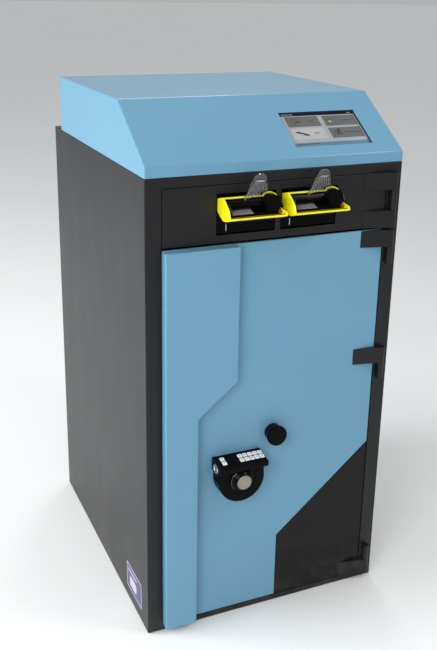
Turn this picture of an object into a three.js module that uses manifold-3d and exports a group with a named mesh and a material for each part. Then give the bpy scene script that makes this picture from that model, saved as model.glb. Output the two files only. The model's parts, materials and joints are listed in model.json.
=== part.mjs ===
// A smart cash deposit safe: a steel cabinet under a sheet-metal hood with a touch display,
// an upper door with two banknote feeders, and a main door with a code lock and boltwork.
// Millimetres, +Z up. The front faces -Y, and the origin is the centre of the base's underside.
// Inside the group, x runs from the left side, y from the front face back, z from the floor.
import * as THREE from 'three';
import { mergeVertices } from 'three/addons/utils/BufferGeometryUtils.js';
import Module from 'manifold-3d';

const wasm = await Module();
wasm.setup();

// ---- driving dimensions ----

const GAP = 0.3;                      // clearance between neighbouring solids
const ROUND = 36;                     // sides of a full circle
const SMALL_ROUND = 16;               // and of one under SMALL in radius
const SMALL = 7;

const WIDTH = 500;
const DEPTH = 600;
const BODY_HEIGHT = 891;
const SHEET = 4;                      // wall thickness of the cabinet
const JAMB = 30;                      // width of the front return beside the doors
const SILL_HEIGHT = 12;
const HEADER_BOTTOM = 872.5;
const SHELF_BOTTOM = 766;

const DOOR_LEFT = 31;
const DOOR_RIGHT = 468;
const MAIN_DOOR = { bottom: 13.5, top: 765.5, thick: 6 };
const UPPER_DOOR = { bottom: 770, top: 871.5, thick: 5 };

const HINGE = { x: 482, y: -6.4, radius: 6, pin: 3, bore: 3.4, armLeft: 421, armHeight: 32 };
const UPPER_ARMS = { high: 841, low: UPPER_DOOR.bottom };
const UPPER_KNUCKLE = { bottom: 802.4, top: 840.6, pinBottom: 771, pinTop: 872 };
const MAIN_HINGES = [
  { name: 'high', arm: 733, knuckle: [697.6, 732.6], pin: [697.6, 764] },
  { name: 'middle', arm: 497, knuckle: [463, 496.6], pin: [463, 528] },
  { name: 'low', arm: 14, knuckle: [46.4, 78], pin: [15, 78] },
];

const HOOD = { sheet: 2, lip: 910, top: 1003, slopeBack: 142, back: 545, returnDepth: 5.5 };
const HOOD_BOTTOM = BODY_HEIGHT + GAP;
const WINDOW = { left: 290, right: 447.5, low: 26, high: 117 };      // low and high along the slope
const SLOPE = Math.atan2(HOOD.top - HOOD.lip, HOOD.slopeBack);
const DISPLAY = { edge: 5, thick: 14, corner: 3 };
const BRACKET = { reach: 14, inset: 5 };
const SUPPLY = { x: [60, 220], y: [300, 400], height: 38, blockEnd: 232, blockHeight: 16 };
const BOARD = { x: [300, 440], y: [300, 400], base: 8, thick: 2, inset: 8, pillar: 3 };
const CHIP = { x: [330, 370], y: [330, 370], height: 20 };
const INLET = { x: 430, z: 830, half: 14, tall: 10, reach: 21, wall: 2 };
const FLANGE = { width: 50, height: 26, corner: 5, thick: 3 };
const PIN = { pitch: 7, half: [2, 1], offset: -1, rise: 4, length: 15 };

const COVER = { left: 30, narrow: 92.5, wide: 168, bottom: 14, top: 765, knee: 450, shoulder: 512 };
const COVER_DEPTH = 20;
const COVER_SHEET = 2;
const COVER_CHAMFER = 6.5;

const DIAL = {
  x: 176.7, z: 315.5, radius: 24, badge: 15, back: -30.4, front: -42.5, shaft: 4, bore: 5, end: 20,
};
const HOUSING = { radius: 45.75, face: -30, shoulder: 342 };
const HEAD = { left: 128, right: 226, top: 358, front: -42, frontTop: 351, frontBottom: 341.5 };
const HEAD_TILT = Math.atan2(HEAD.top - HEAD.frontTop, -HEAD.front);
const KEY = { width: 8.5, depth: 9, rise: 1.6, root: 1.9, pocket: 3.3, corner: 1, edge: 0.4 };
const KEY_GRID = { x: 178.3, pitch: 10.3, columns: 5, rows: [13.6, 25.7] };
const FUNCTION_KEYS_X = 142.6;
const PORT = { y: -20.5, z: 343.5, radius: 10, proud: 1.8, rim: 2.5, floor: 0.8 };

const KNOB = { x: 252.5, z: 387, base: 17, rim: 19.75, reach: 24, spindle: 5, bore: 6 };
const THROW = 15;                     // travel of the boltwork
const CRANK = THROW / (2 * Math.sin(Math.PI / 4));   // crank radius for a quarter turn
const BAR = { left: 60, right: 90, bottom: 90, top: 690, front: 18, back: 22 };
const ARM = { right: 275, bottom: 378, top: 408 };
const SLOT = { half: 3.7, bottom: 389, top: 402.5 };
const CRANK_DISC = { radius: 15, front: 10, back: 14, spindleFront: -15.5, pin: 3, pinBack: 25 };
const BOLT = { radius: 8, tip: 33, heights: [120, 393, 660], clear: 0.6 };
const GUIDE = { left: 36, right: 52, thick: 4, leg: 3, back: 34, bottom: 80, top: 700 };
const LOCK_CASE = { left: 146, right: 207, bottom: 270, top: 355, back: 33 };
const LOCK_BOLT = { width: 7, front: 15, back: 25, length: 26, proud: 1, clear: 0.5 };
const LUG = { width: 5, offset: 1.5, bottom: 358 };
const UPPER_LOCK = { left: 36, right: 96, bottom: 800, top: 840, back: 27 };
const UPPER_BOLT = { length: 44, y: [10, 22], z: [812, 828], clear: 0.6, spare: 4 };

const FEEDERS = [{ side: 'left', x: 185.5 }, { side: 'right', x: 308.5 }];
const FEEDER_OPENING = { half: 56, bottom: 784, top: 856 };
const BEZEL = { half: 54.5, wall: 3, lip: -49, back: 0.7 };
const RAIL = { front: -19, back: -14.2, bottom: 850, top: 853.5 };
const ARCH = { inner: 0.5, outer: 3, start: -0.35, end: 2.25 };
const BOSS = { x: 36.8, z: 839.5, radius: 14.4, front: -33, back: -9 };
const BODY = { half: 54, back: 46, bottom: 787, top: 849.5, inner: 50 };
const MOUTH = { left: -46, right: 21, bottom: 832, top: 843, back: 40 };
const GUARD = { lean: 0.218, sheet: 1.6, rib: 1.2, y: -19.4, z: 849.5, ribs: 7, lap: 0.5 };
const RIB = { foot: -14, footPitch: 6.5, rise: 0.166, head: 2.5, headPitch: 2.5, width: 1, top: 33 };

const VALIDATOR = { half: 48, front: 52, back: 330, top: 866 };
const NOSE = { inset: 6, proud: 4, bottom: 825, top: 850 };
const THROAT = { half: 38, front: 180, back: 202, clear: 2 };
const CASSETTE = { half: 50, front: 70, back: 310, bottom: 470, top: 761, chamfer: 10 };
const GRIP = { half: 35, reach: 16, heel: 600, bottom: 610, top: 616 };
const LAP = 1;                        // how far solids reach into each other before they join

// ---- finishes ----

const paint = (color, roughness = 0.45, metalness = 0) =>
  new THREE.MeshStandardMaterial({ color, roughness, metalness });
const blueCoat = () => paint(0x6fa3c2, 0.35);
const charcoalCoat = () => paint(0x333334, 0.5);
const steel = () => paint(0xa9abad, 0.35, 0.9);
const blackPlastic = () => paint(0x151515, 0.4);
const yellowPlastic = () => paint(0xf2dc1c, 0.35);
const whitePlastic = () => paint(0xe9e9e6, 0.4);
const clearPlastic = () => paint(0xc9d2d6, 0.1);

// ---- solids ----

function toSolid(geometry) {
  const bare = geometry.clone();
  bare.deleteAttribute('normal');
  bare.deleteAttribute('uv');
  const merged = mergeVertices(bare);
  const index = merged.getIndex().array;
  const triangles = [];
  for (let i = 0; i < index.length; i += 3) {
    const [a, b, c] = index.subarray(i, i + 3);
    if (a !== b && b !== c && c !== a) triangles.push(a, b, c);
  }
  const vertProperties = new Float32Array(merged.getAttribute('position').array);
  return new wasm.Manifold(new wasm.Mesh({
    numProp: 3, vertProperties, triVerts: new Uint32Array(triangles),
  }));
}

function toGeometry(solid) {
  const mesh = solid.getMesh();
  const indexed = new THREE.BufferGeometry();
  indexed.setAttribute('position', new THREE.BufferAttribute(mesh.vertProperties, 3));
  indexed.setIndex(new THREE.BufferAttribute(mesh.triVerts, 1));
  const faceted = indexed.toNonIndexed();
  faceted.computeVertexNormals();
  return faceted;
}

const join = (first, ...others) =>
  toGeometry(others.reduce((whole, part) => whole.add(toSolid(part)), toSolid(first)));
const cut = (base, ...tools) =>
  toGeometry(tools.reduce((whole, tool) => whole.subtract(toSolid(tool)), toSolid(base)));

function box([x0, x1], [y0, y1], [z0, z1]) {
  const geometry = new THREE.BoxGeometry(x1 - x0, y1 - y0, z1 - z0);
  return geometry.translate((x0 + x1) / 2, (y0 + y1) / 2, (z0 + z1) / 2);
}

const axisX = new THREE.Vector3(1, 0, 0);
const axisY = new THREE.Vector3(0, 1, 0);
const axisZ = new THREE.Vector3(0, 0, 1);

const outline = (points) => new THREE.Shape(points.map(([a, b]) => new THREE.Vector2(a, b)));

function extrude(shape, depth, curveSegments = 12) {
  return new THREE.ExtrudeGeometry(shape, { depth, bevelEnabled: false, curveSegments });
}

// A profile drawn in (y, z), extruded along +X from x0 to x1.
function alongX(shape, [x0, x1], curveSegments) {
  const turn = new THREE.Matrix4().makeBasis(axisY, axisZ, axisX);
  return extrude(shape, x1 - x0, curveSegments).applyMatrix4(turn).translate(x0, 0, 0);
}

// A profile drawn in (x, z), extruded along -Y from y1 to y0.
function alongY(shape, [y0, y1], curveSegments) {
  const turn = new THREE.Matrix4().makeBasis(axisX, axisZ, axisY.clone().negate());
  return extrude(shape, y1 - y0, curveSegments).applyMatrix4(turn).translate(0, y1, 0);
}

const alongZ = (shape, [z0, z1], curveSegments) =>
  extrude(shape, z1 - z0, curveSegments).translate(0, 0, z0);

function rod(radius, length) {
  return new THREE.CylinderGeometry(radius, radius, length, radius < SMALL ? SMALL_ROUND : ROUND);
}

const rodX = (y, z, radius, [x0, x1]) =>
  rod(radius, x1 - x0).rotateZ(Math.PI / 2).translate((x0 + x1) / 2, y, z);
const rodY = (x, z, radius, [y0, y1]) => rod(radius, y1 - y0).translate(x, (y0 + y1) / 2, z);
const rodZ = (x, y, radius, [z0, z1]) =>
  rod(radius, z1 - z0).rotateX(Math.PI / 2).translate(x, y, (z0 + z1) / 2);

// Turns a profile of [radius, y] points, front first, about a +Y axis through (x, z).
function turned(profile, x, z) {
  const points = profile.map(([radius, y]) => new THREE.Vector2(radius, y));
  return join(new THREE.LatheGeometry(points, ROUND).translate(x, 0, z));
}

function roundedRectangle(width, height, corner, x = 0, y = 0) {
  const [w, h] = [width / 2, height / 2];
  const shape = new THREE.Shape();
  shape.absarc(x + w - corner, y + h - corner, corner, 0, Math.PI / 2);
  shape.absarc(x - w + corner, y + h - corner, corner, Math.PI / 2, Math.PI);
  shape.absarc(x - w + corner, y - h + corner, corner, Math.PI, 1.5 * Math.PI);
  shape.absarc(x + w - corner, y - h + corner, corner, 1.5 * Math.PI, 2 * Math.PI);
  return shape;
}

// Moves each edge of a counter-clockwise outline inwards by the same distance.
function inset(points, distance) {
  const edges = points.map(([x0, y0], i) => {
    const [x1, y1] = points[(i + 1) % points.length];
    const length = Math.hypot(x1 - x0, y1 - y0);
    const [a, b] = [(y1 - y0) / length, -(x1 - x0) / length];
    return [a, b, a * x0 + b * y0 - distance];
  });
  return edges.map(([a1, b1, c1], i) => {
    const [a0, b0, c0] = edges[(i + edges.length - 1) % edges.length];
    const spread = a0 * b1 - a1 * b0;
    return [(c0 * b1 - c1 * b0) / spread, (a0 * c1 - a1 * c0) / spread];
  });
}

function named(name, geometry, material) {
  const mesh = new THREE.Mesh(geometry, material);
  mesh.name = name;
  return mesh;
}

function plate(name, material, [x0, x1], [y0, y1], [z0, z1]) {
  const mesh = named(name, new THREE.BoxGeometry(x1 - x0, y1 - y0, z1 - z0), material);
  mesh.position.set((x0 + x1) / 2, (y0 + y1) / 2, (z0 + z1) / 2);
  return mesh;
}

function assembly(...children) {
  const group = new THREE.Group();
  group.add(...children);
  return group;
}

// ---- cabinet ----

function sideWall(name, mirrored) {
  const section = outline([
    [0, 0], [JAMB, 0], [JAMB, SHEET], [SHEET, SHEET], [SHEET, DEPTH], [0, DEPTH],
  ]);
  const wall = named(name, alongZ(section, [0, BODY_HEIGHT]), charcoalCoat());
  if (mirrored) {
    const points = section.getPoints().map((p) => [-p.x, p.y]).reverse();
    wall.geometry = alongZ(outline(points), [0, BODY_HEIGHT]);
    wall.position.x = WIDTH;
  }
  return wall;
}

function backWall() {
  const wall = box([SHEET + GAP, WIDTH - SHEET - GAP], [DEPTH - SHEET, DEPTH], [0, BODY_HEIGHT]);
  const { x, z, half, tall } = INLET;
  const hole = box([x - half - GAP, x + half + GAP], [DEPTH - SHEET - LAP, DEPTH + LAP],
    [z - tall - GAP, z + tall + GAP]);
  return named('back_wall', cut(wall, hole), charcoalCoat());
}

function compartmentShelf() {
  const wide = [SHEET + GAP, WIDTH - SHEET - GAP];
  const shelf = box(wide, [SILL_HEIGHT, DEPTH - SHEET - GAP], [SHELF_BOTTOM, UPPER_DOOR.bottom]);
  const { half, front, back, clear } = THROAT;
  const slots = FEEDERS.map(({ x }) => box([x - half - clear, x + half + clear],
    [front - clear, back + clear], [SHELF_BOTTOM - LAP, UPPER_DOOR.bottom + LAP]));
  return named('compartment_shelf', cut(shelf, ...slots), charcoalCoat());
}

function cabinet() {
  const inside = [SHEET + GAP, WIDTH - SHEET - GAP];
  const betweenJambs = [JAMB + GAP, WIDTH - JAMB - GAP];
  const behindFront = [SHEET + GAP, DEPTH - SHEET - GAP];
  return assembly(
    sideWall('side_wall_left', false),
    sideWall('side_wall_right', true),
    backWall(),
    plate('floor_plate', charcoalCoat(), inside, behindFront, [0, SHEET]),
    plate('roof_plate', charcoalCoat(), inside, behindFront, [BODY_HEIGHT - SHEET, BODY_HEIGHT]),
    plate('sill', charcoalCoat(), betweenJambs, [0, SHEET], [0, SILL_HEIGHT]),
    plate('header', charcoalCoat(), betweenJambs, [0, SHEET], [HEADER_BOTTOM, BODY_HEIGHT]),
    compartmentShelf(),
  );
}

// ---- hood and electronics ----

// The frame of the slanted panel: x across, y up the slope, z out of the face.
function onSlope(...children) {
  const group = assembly(...children);
  group.position.set(0, 0, HOOD.lip);
  group.rotation.x = SLOPE;
  return group;
}

const toSlope = new THREE.Matrix4()
  .makeTranslation(0, 0, HOOD.lip)
  .multiply(new THREE.Matrix4().makeRotationX(SLOPE));

function hoodCover() {
  const side = [
    [0, HOOD_BOTTOM], [HOOD.back, HOOD_BOTTOM], [HOOD.back, HOOD.top],
    [HOOD.slopeBack, HOOD.top], [0, HOOD.lip],
  ];
  const core = inset(side, HOOD.sheet);
  core[0][1] = HOOD_BOTTOM - HOOD.sheet;
  core[1][1] = HOOD_BOTTOM - HOOD.sheet;
  const shell = cut(alongX(outline(side), [0, WIDTH]),
    alongX(outline(core), [HOOD.sheet, WIDTH - HOOD.sheet]));
  const { left, right, low, high } = WINDOW;
  const t = HOOD.sheet;
  const frame = box([left - t, right + t], [low - t, high + t], [-HOOD.returnDepth, -t / 2]);
  const hole = box([left, right], [low, high], [-HOOD.returnDepth - LAP, LAP]);
  return named('hood_cover',
    cut(join(shell, frame.applyMatrix4(toSlope)), hole.applyMatrix4(toSlope)), blueCoat());
}

function touchDisplay() {
  const { left, right, low, high } = WINDOW;
  const { edge, thick, corner } = DISPLAY;
  const shape = roundedRectangle(right - left + 2 * edge, high - low + 2 * edge, corner,
    (left + right) / 2, (low + high) / 2);
  const front = -HOOD.returnDepth - GAP;
  return named('touch_display', alongZ(shape, [front - thick, front], 4), blackPlastic());
}

function displayBracket() {
  const { left, right, low, high } = WINDOW;
  const back = -HOOD.returnDepth - DISPLAY.thick - 2 * GAP;
  const t = HOOD.sheet;
  const [x0, x1] = [left - BRACKET.reach, right + BRACKET.reach];
  const along = [low + BRACKET.inset, high - BRACKET.inset];
  const pan = box([x0, x1], along, [back - t, back]);
  const ears = [[x0, x0 + t], [x1 - t, x1]].map((x) => box(x, along, [back - t, -t - GAP]));
  return named('display_bracket', join(pan, ...ears), steel());
}

function powerInlet() {
  const { x, z, half, tall, reach, wall } = INLET;
  const flange = alongY(roundedRectangle(FLANGE.width, FLANGE.height, FLANGE.corner, x, z),
    [DEPTH + GAP, DEPTH + FLANGE.thick]);
  const body = box([x - half, x + half], [DEPTH - reach, DEPTH + LAP], [z - tall, z + tall]);
  const floor = DEPTH - reach + wall;
  const socket = box([x - half + wall, x + half - wall], [floor, DEPTH + FLANGE.thick + LAP],
    [z - tall + wall, z + tall - wall]);
  const [across, up] = PIN.half;
  const pins = [-1, 0, 1].map((place) => {
    const [px, pz] = [x + place * PIN.pitch, z + PIN.offset + (place ? 0 : PIN.rise)];
    return box([px - across, px + across], [floor - LAP, floor + PIN.length], [pz - up, pz + up]);
  });
  return named('power_inlet', join(cut(join(flange, body), socket), ...pins), blackPlastic());
}

function powerSupply() {
  const { x, y, height, blockEnd, blockHeight } = SUPPLY;
  const block = box([x[1] - LAP, blockEnd], y, [HOOD_BOTTOM, HOOD_BOTTOM + blockHeight]);
  return named('power_supply', join(box(x, y, [HOOD_BOTTOM, HOOD_BOTTOM + height]), block), steel());
}

function controllerBoard() {
  const { x, y, base, thick, inset, pillar } = BOARD;
  const under = HOOD_BOTTOM + base;
  const pillars = [x[0] + inset, x[1] - inset].flatMap((px) =>
    [y[0] + inset, y[1] - inset].map((py) => rodZ(px, py, pillar, [HOOD_BOTTOM, under + LAP])));
  const chip = box(CHIP.x, CHIP.y, [under + LAP, HOOD_BOTTOM + CHIP.height]);
  return named('controller_board', join(box(x, y, [under, under + thick]), ...pillars, chip),
    paint(0x2f6b43, 0.6));
}

const electronics = () => assembly(powerSupply(), controllerBoard(), powerInlet());

// ---- hinges ----

function hingeArm(name, bottom) {
  const { x, y, radius, bore, armLeft, armHeight } = HINGE;
  const shape = new THREE.Shape();
  shape.moveTo(armLeft, y - radius);
  shape.absarc(x, y, radius, -Math.PI / 2, Math.PI / 2);
  shape.lineTo(armLeft, y + radius);
  const span = [bottom, bottom + armHeight];
  return named(name, cut(alongZ(shape, span, 10), rodZ(x, y, bore, [span[0] - LAP, span[1] + LAP])),
    charcoalCoat());
}

// A knuckle stands on the right jamb, and its pin carries the arms above or below it.
function hingeKnuckle(name, span, pinSpan) {
  const { x, y, radius, pin } = HINGE;
  const shape = new THREE.Shape();
  shape.moveTo(x + radius, -GAP);
  shape.lineTo(x - radius, -GAP);
  shape.absarc(x, y, radius, Math.PI, 2 * Math.PI);
  return named(name, join(alongZ(shape, span, 10), rodZ(x, y, pin, pinSpan)), charcoalCoat());
}

function knuckles() {
  const { bottom, top, pinBottom, pinTop } = UPPER_KNUCKLE;
  return assembly(
    hingeKnuckle('hinge_knuckle_upper', [bottom, top], [pinBottom, pinTop]),
    ...MAIN_HINGES.map(({ name, knuckle, pin }) =>
      hingeKnuckle(`hinge_knuckle_${name}`, knuckle, pin)),
  );
}

// ---- cash units ----

function validatorHead({ side, x }) {
  const { half, front, back, top } = VALIDATOR;
  const head = box([x - half, x + half], [front, back], [UPPER_DOOR.bottom + GAP, top]);
  const throat = box([x - THROAT.half, x + THROAT.half], [THROAT.front, THROAT.back],
    [CASSETTE.top + LAP, UPPER_DOOR.bottom + GAP + LAP]);
  const nose = box([x - half + NOSE.inset, x + half - NOSE.inset],
    [front - NOSE.proud, front + LAP], [NOSE.bottom, NOSE.top]);
  return named(`validator_head_${side}`, join(head, throat, nose), paint(0x2b2c2e, 0.5));
}

function noteCassette({ side, x }) {
  const { half, front, back, bottom, top, chamfer } = CASSETTE;
  const section = outline([
    [front, bottom], [back, bottom], [back, top], [front + chamfer, top], [front, top - chamfer],
  ]);
  const grip = alongX(outline([
    [front + LAP, GRIP.heel], [front - GRIP.reach, GRIP.bottom], [front - GRIP.reach, GRIP.top],
    [front + LAP, GRIP.top],
  ]), [x - GRIP.half, x + GRIP.half]);
  return named(`note_cassette_${side}`, join(alongX(section, [x - half, x + half]), grip),
    paint(0x3a3d40, 0.5));
}

// ---- upper door ----

function upperDoorPlate() {
  const { bottom, top, thick } = UPPER_DOOR;
  const slab = box([DOOR_LEFT, DOOR_RIGHT], [0, thick], [bottom, top]);
  const holes = FEEDERS.map(({ x }) =>
    box([x - FEEDER_OPENING.half, x + FEEDER_OPENING.half], [-LAP, thick + LAP],
      [FEEDER_OPENING.bottom, FEEDER_OPENING.top]));
  return named('upper_door_plate', cut(slab, ...holes), charcoalCoat());
}

// The yellow scoop: a cheek, a trough with its lip, a top rail, an arch and a low right cheek.
function feederBezel(side) {
  const { half, wall, lip, back } = BEZEL;
  const cheek = alongX(outline([
    [back, 827], [-24, 815], [lip, 821], [-43.5, 835.6], [-30, 846.5], [-19, 852], [-15, 853.5],
    [back, 849],
  ]), [-half, -half + wall]);
  const trough = alongX(outline([
    [back, 826], [-24, 815], [lip, 821], [lip + 0.5, 824.5], [-24.3, 817.8], [back, 829],
  ]), [-half, half]);
  const { x, z, radius } = BOSS;
  const depth = [RAIL.front, RAIL.back];
  const railEnd = x + (radius + ARCH.outer) * Math.cos(ARCH.end) + LAP / 2;
  const rail = box([-half, railEnd], depth, [RAIL.bottom, RAIL.top]);
  const arch = new THREE.Shape();
  arch.absarc(x, z, radius + ARCH.outer, ARCH.start, ARCH.end);
  arch.absarc(x, z, radius + ARCH.inner, ARCH.end, ARCH.start, true);
  const rightCheek = alongX(outline([
    [back, 827], [-24, 815.5], [lip, 821.2], [lip + 1, 827], [-30, 829], [-14.2, 836],
    [back, 836],
  ]), [half - wall, half]);
  return named(`feeder_bezel_${side}`,
    join(cheek, trough, rail, alongY(arch, depth, 16), rightCheek), yellowPlastic());
}

function feederBody(side) {
  const { half, back, bottom, top, inner } = BODY;
  const core = box([-half, half], [1, back], [bottom, top]);
  const cover = alongX(outline([
    [2, 842], [-20, 842], [-20, 845], [-16, 848.3], [-8, top], [2, top],
  ]), [-inner, BOSS.x]);
  const base = alongX(outline([
    [2, 829.6], [2, 833], [-4, 832.5], [-34, 824], [-34, 820.8], [-24.3, 818.3],
  ]), [-inner, inner]);
  const leftWall = box([-inner, MOUTH.left], [-20, 2], [829.8, 848]);
  const boss = rodY(BOSS.x, BOSS.z, BOSS.radius, [BOSS.front, BOSS.back]);
  const mouth = box([MOUTH.left, MOUTH.right], [BEZEL.lip, MOUTH.back],
    [MOUTH.bottom, MOUTH.top]);
  return named(`feeder_body_${side}`,
    cut(join(core, cover, base, leftWall, boss), mouth), blackPlastic());
}

// A clear ribbed comb that stands before the rail and leans forward, raised over the boss.
function noteGuard(side) {
  const { lean, sheet, rib, ribs, lap } = GUARD;
  const shape = new THREE.Shape();
  shape.moveTo(-15, 0);
  shape.lineTo(28.6, 7.3);
  shape.lineTo(22, 38);
  shape.quadraticCurveTo(21, 44.5, 12, 44.5);
  shape.quadraticCurveTo(1, 44.5, -2, 38.5);
  const ribBars = [...Array(ribs).keys()].map((i) => {
    const [foot, head] = [RIB.foot + i * RIB.footPitch, RIB.head + i * RIB.headPitch];
    const low = lap + i * RIB.footPitch * RIB.rise;
    return extrude(outline([
      [foot, low], [foot + RIB.width, low], [head + RIB.width, RIB.top], [head, RIB.top],
    ]), rib + lap).translate(0, 0, sheet - lap);
  });
  const guard = named(`note_guard_${side}`, join(extrude(shape, sheet, 6), ...ribBars),
    clearPlastic());
  guard.position.set(0, GUARD.y, GUARD.z);
  guard.rotation.x = Math.PI / 2 + lean;
  return guard;
}

function feeder({ side, x }) {
  const group = assembly(feederBezel(side), feederBody(side), noteGuard(side));
  group.position.x = x;
  return group;
}

function upperLock() {
  const { left, right, bottom, top, back } = UPPER_LOCK;
  const { length, y, z, clear, spare } = UPPER_BOLT;
  const channel = box([left - LAP, left + length + spare], [y[0] - clear, y[1] + clear],
    [z[0] - clear, z[1] + clear]);
  const body = box([left, right], [UPPER_DOOR.thick + GAP, back], [bottom, top]);
  return assembly(
    named('upper_lock_case', cut(body, channel), steel()),
    plate('upper_lock_bolt', steel(), [left - GAP, left + length], y, z),
  );
}

function upperDoor() {
  return assembly(
    upperDoorPlate(),
    hingeArm('upper_hinge_arm_high', UPPER_ARMS.high),
    hingeArm('upper_hinge_arm_low', UPPER_ARMS.low),
    ...FEEDERS.map(feeder),
    upperLock(),
  );
}

// ---- main door ----

function mainDoorPlate() {
  const { bottom, top, thick } = MAIN_DOOR;
  const slab = box([DOOR_LEFT, DOOR_RIGHT], [0, thick], [bottom, top]);
  const through = [-LAP, thick + LAP];
  return named('main_door_plate', cut(slab, rodY(DIAL.x, DIAL.z, DIAL.bore, through),
    rodY(KNOB.x, KNOB.z, KNOB.bore, through)), blueCoat());
}

// A folded tray, open towards the door.
function overlayCover() {
  const { left, narrow, wide, bottom, top, knee, shoulder } = COVER;
  const points = [
    [left, bottom], [narrow - COVER_CHAMFER, bottom], [narrow, bottom + COVER_CHAMFER],
    [narrow, knee], [wide, shoulder], [wide, top], [left, top],
  ];
  const hollow = alongY(outline(inset(points, COVER_SHEET)), [COVER_SHEET - COVER_DEPTH, LAP]);
  return named('overlay_cover', cut(alongY(outline(points), [-COVER_DEPTH, -GAP]), hollow),
    blueCoat());
}

// An angle on the closing edge that carries the three bolts.
function boltGuide() {
  const { left, right, thick, leg, back, bottom, top } = GUIDE;
  const front = MAIN_DOOR.thick + GAP;
  const section = outline([
    [left, front], [right, front], [right, front + leg], [left + thick, front + leg],
    [left + thick, back], [left, back],
  ]);
  const holes = BOLT.heights.map((z) => rodX((BAR.front + BAR.back) / 2, z,
    BOLT.radius + BOLT.clear, [left - LAP, left + thick + LAP]));
  return named('bolt_guide', cut(alongZ(section, [bottom, top]), ...holes), steel());
}

// The bar with its three bolts, the arm to the crank and the lug that the lock bolt stops.
function boltBar() {
  const between = [BAR.front, BAR.back];
  const middle = (BAR.front + BAR.back) / 2;
  const strip = box([BAR.left, BAR.right], between, [BAR.bottom, BAR.top]);
  const arm = box([BAR.right - LAP, ARM.right], between, [ARM.bottom, ARM.top]);
  const lugLeft = DIAL.x + LOCK_BOLT.width / 2 + LUG.offset;
  const lug = box([lugLeft, lugLeft + LUG.width], between, [LUG.bottom, ARM.bottom + LAP]);
  const bolts = BOLT.heights.map((z) =>
    rodX(middle, z, BOLT.radius, [BOLT.tip, (BAR.left + BAR.right) / 2]));
  const slotX = KNOB.x + CRANK * Math.SQRT1_2;
  const slot = box([slotX - SLOT.half, slotX + SLOT.half], [BAR.front - LAP, BAR.back + LAP],
    [SLOT.bottom, SLOT.top]);
  return named('bolt_bar', cut(join(strip, arm, lug, ...bolts), slot), steel());
}

function boltKnob() {
  const { x, z, base, rim, reach, spindle } = KNOB;
  return named('bolt_knob', turned([
    [0, -reach], [rim - 4, -reach], [rim - 1.2, 0.8 - reach], [rim, 3 - reach],
    [rim - 0.3, 9 - reach], [base + 0.5, -7], [base, -0.4], [spindle + GAP, -0.4],
    [spindle + GAP, -16], [0, -16],
  ], x, z), blackPlastic());
}

// The spindle with its crank disc; the pin starts an eighth turn to the right of upright.
function knobCrank() {
  const { x, z, spindle } = KNOB;
  const reach = CRANK * Math.SQRT1_2;
  const { radius, front, back, spindleFront, pin, pinBack } = CRANK_DISC;
  return named('knob_crank', join(rodY(x, z, spindle, [spindleFront, front + LAP]),
    rodY(x, z, radius, [front, back]), rodY(x + reach, z + reach, pin, [back - LAP, pinBack])),
  steel());
}

function lockCase() {
  const { left, right, bottom, top, back } = LOCK_CASE;
  const { width, front, back: boltBack, length, proud, clear } = LOCK_BOLT;
  const half = width / 2 + clear;
  const channel = box([DIAL.x - half, DIAL.x + half], [front - clear, boltBack + clear],
    [top + proud - length - clear, top + LAP]);
  const bore = rodY(DIAL.x, DIAL.z, DIAL.bore, [0, DIAL.end + 2 * LAP]);
  return named('lock_case',
    cut(box([left, right], [MAIN_DOOR.thick + GAP, back], [bottom, top]), channel, bore), steel());
}

function lockBolt() {
  const { width, front, back, length, proud } = LOCK_BOLT;
  const top = LOCK_CASE.top + proud;
  return plate('lock_bolt', steel(), [DIAL.x - width / 2, DIAL.x + width / 2], [front, back],
    [top - length, top]);
}

// The frame of the keypad: x across, y up the slope to the door, z out of the head's top.
function onKeypad(...children) {
  const group = assembly(...children);
  group.position.z = HEAD.top;
  group.rotation.x = HEAD_TILT;
  return group;
}

const toKeypad = new THREE.Matrix4()
  .makeTranslation(0, 0, HEAD.top)
  .multiply(new THREE.Matrix4().makeRotationX(HEAD_TILT));

function keyPlaces() {
  const places = KEY_GRID.rows.map((down, row) => ({
    name: row ? 'key_enter' : 'key_clear', x: FUNCTION_KEYS_X, y: -down,
  }));
  KEY_GRID.rows.forEach((down, row) => {
    for (let column = 0; column < KEY_GRID.columns; column += 1) {
      const digit = (row * KEY_GRID.columns + column + 1) % 10;
      places.push({ name: `key_${digit}`, x: KEY_GRID.x + column * KEY_GRID.pitch, y: -down });
    }
  });
  return places;
}

function lockHousing() {
  const { radius, face, shoulder } = HOUSING;
  const shape = new THREE.Shape();
  shape.moveTo(DIAL.x + radius, shoulder);
  shape.lineTo(DIAL.x - radius, shoulder);
  shape.absarc(DIAL.x, DIAL.z + 0.8, radius, Math.PI, 2 * Math.PI);
  const drum = alongY(shape, [face, -GAP], 24);
  const head = alongX(outline([
    [-GAP, 334], [face, 334], [face, 340.5], [1 + HEAD.front, 340.5], [HEAD.front, HEAD.frontBottom],
    [HEAD.front, HEAD.frontTop], [-GAP, HEAD.top],
  ]), [HEAD.left, HEAD.right]);
  const pockets = keyPlaces().map(({ x, y }) => {
    const [w, d] = [KEY.width / 2 + GAP, KEY.depth / 2 + GAP];
    return box([x - w, x + w], [y - d, y + d], [-KEY.pocket, LAP]).applyMatrix4(toKeypad);
  });
  const bore = rodY(DIAL.x, DIAL.z, DIAL.bore, [face - LAP, LAP]);
  return named('lock_housing', cut(join(drum, head), bore, ...pockets), blackPlastic());
}

function key({ name, x, y }) {
  const { width, depth, rise, root, corner, edge } = KEY;
  const shape = roundedRectangle(width - 2 * edge, depth - 2 * edge, corner - edge);
  const cap = new THREE.ExtrudeGeometry(shape, {
    depth: rise + root - 2 * edge, bevelThickness: edge, bevelSize: edge, bevelSegments: 1,
    curveSegments: 2,
  });
  const mesh = named(name, join(cap.translate(0, 0, edge - root)), whitePlastic());
  mesh.position.set(x, y, 0);
  return mesh;
}

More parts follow.
